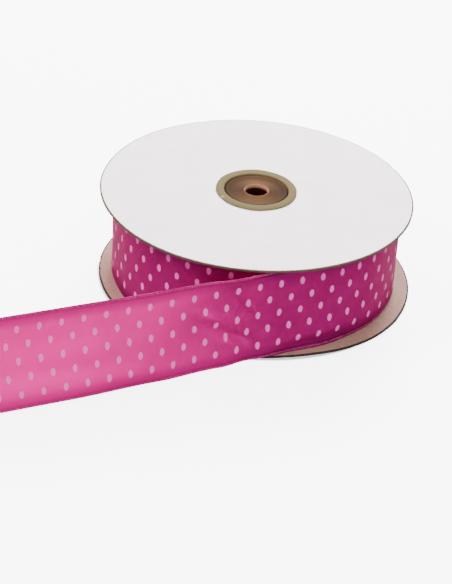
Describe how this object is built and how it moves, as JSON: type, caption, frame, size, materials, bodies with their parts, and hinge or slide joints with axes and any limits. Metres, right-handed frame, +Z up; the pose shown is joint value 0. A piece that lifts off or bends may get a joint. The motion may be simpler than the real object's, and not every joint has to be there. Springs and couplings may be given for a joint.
{
  "type": "spool of satin ribbon",
  "caption": "Spool of printed satin ribbon lying flat: card flanges on a paper core, roll wound between them, loose end drawn off the front and standing on its edge.",
  "frame": {"origin": "middle of the underside of the whole object's box, loose end included; the spool's axis stands at x = 0.02325 m, y = 0.03057 m", "axes": "+Z up along the spool's axis, out of the upper card; +X to the right and +Y to the back as the picture sees it, so the loose end runs out towards -X and -Y"},
  "size_m": [0.178, 0.1912, 0.0422],
  "materials": {
    "white_board": "smooth white lining on greyboard, cut edge grey-brown",
    "cream_paper": "matt, rolled",
    "kraft_board": "matt, pressed",
    "pink_satin": "satin sheen, pale printed dots, stitched edges"
  },
  "bodies": {
    "root": {"card_top": "white_board", "card_bottom": "white_board", "core_tube": "cream_paper", "core_plug": "kraft_board", "ribbon_roll": "pink_satin", "ribbon_end": "pink_satin"}
  },
  "joints": []
}
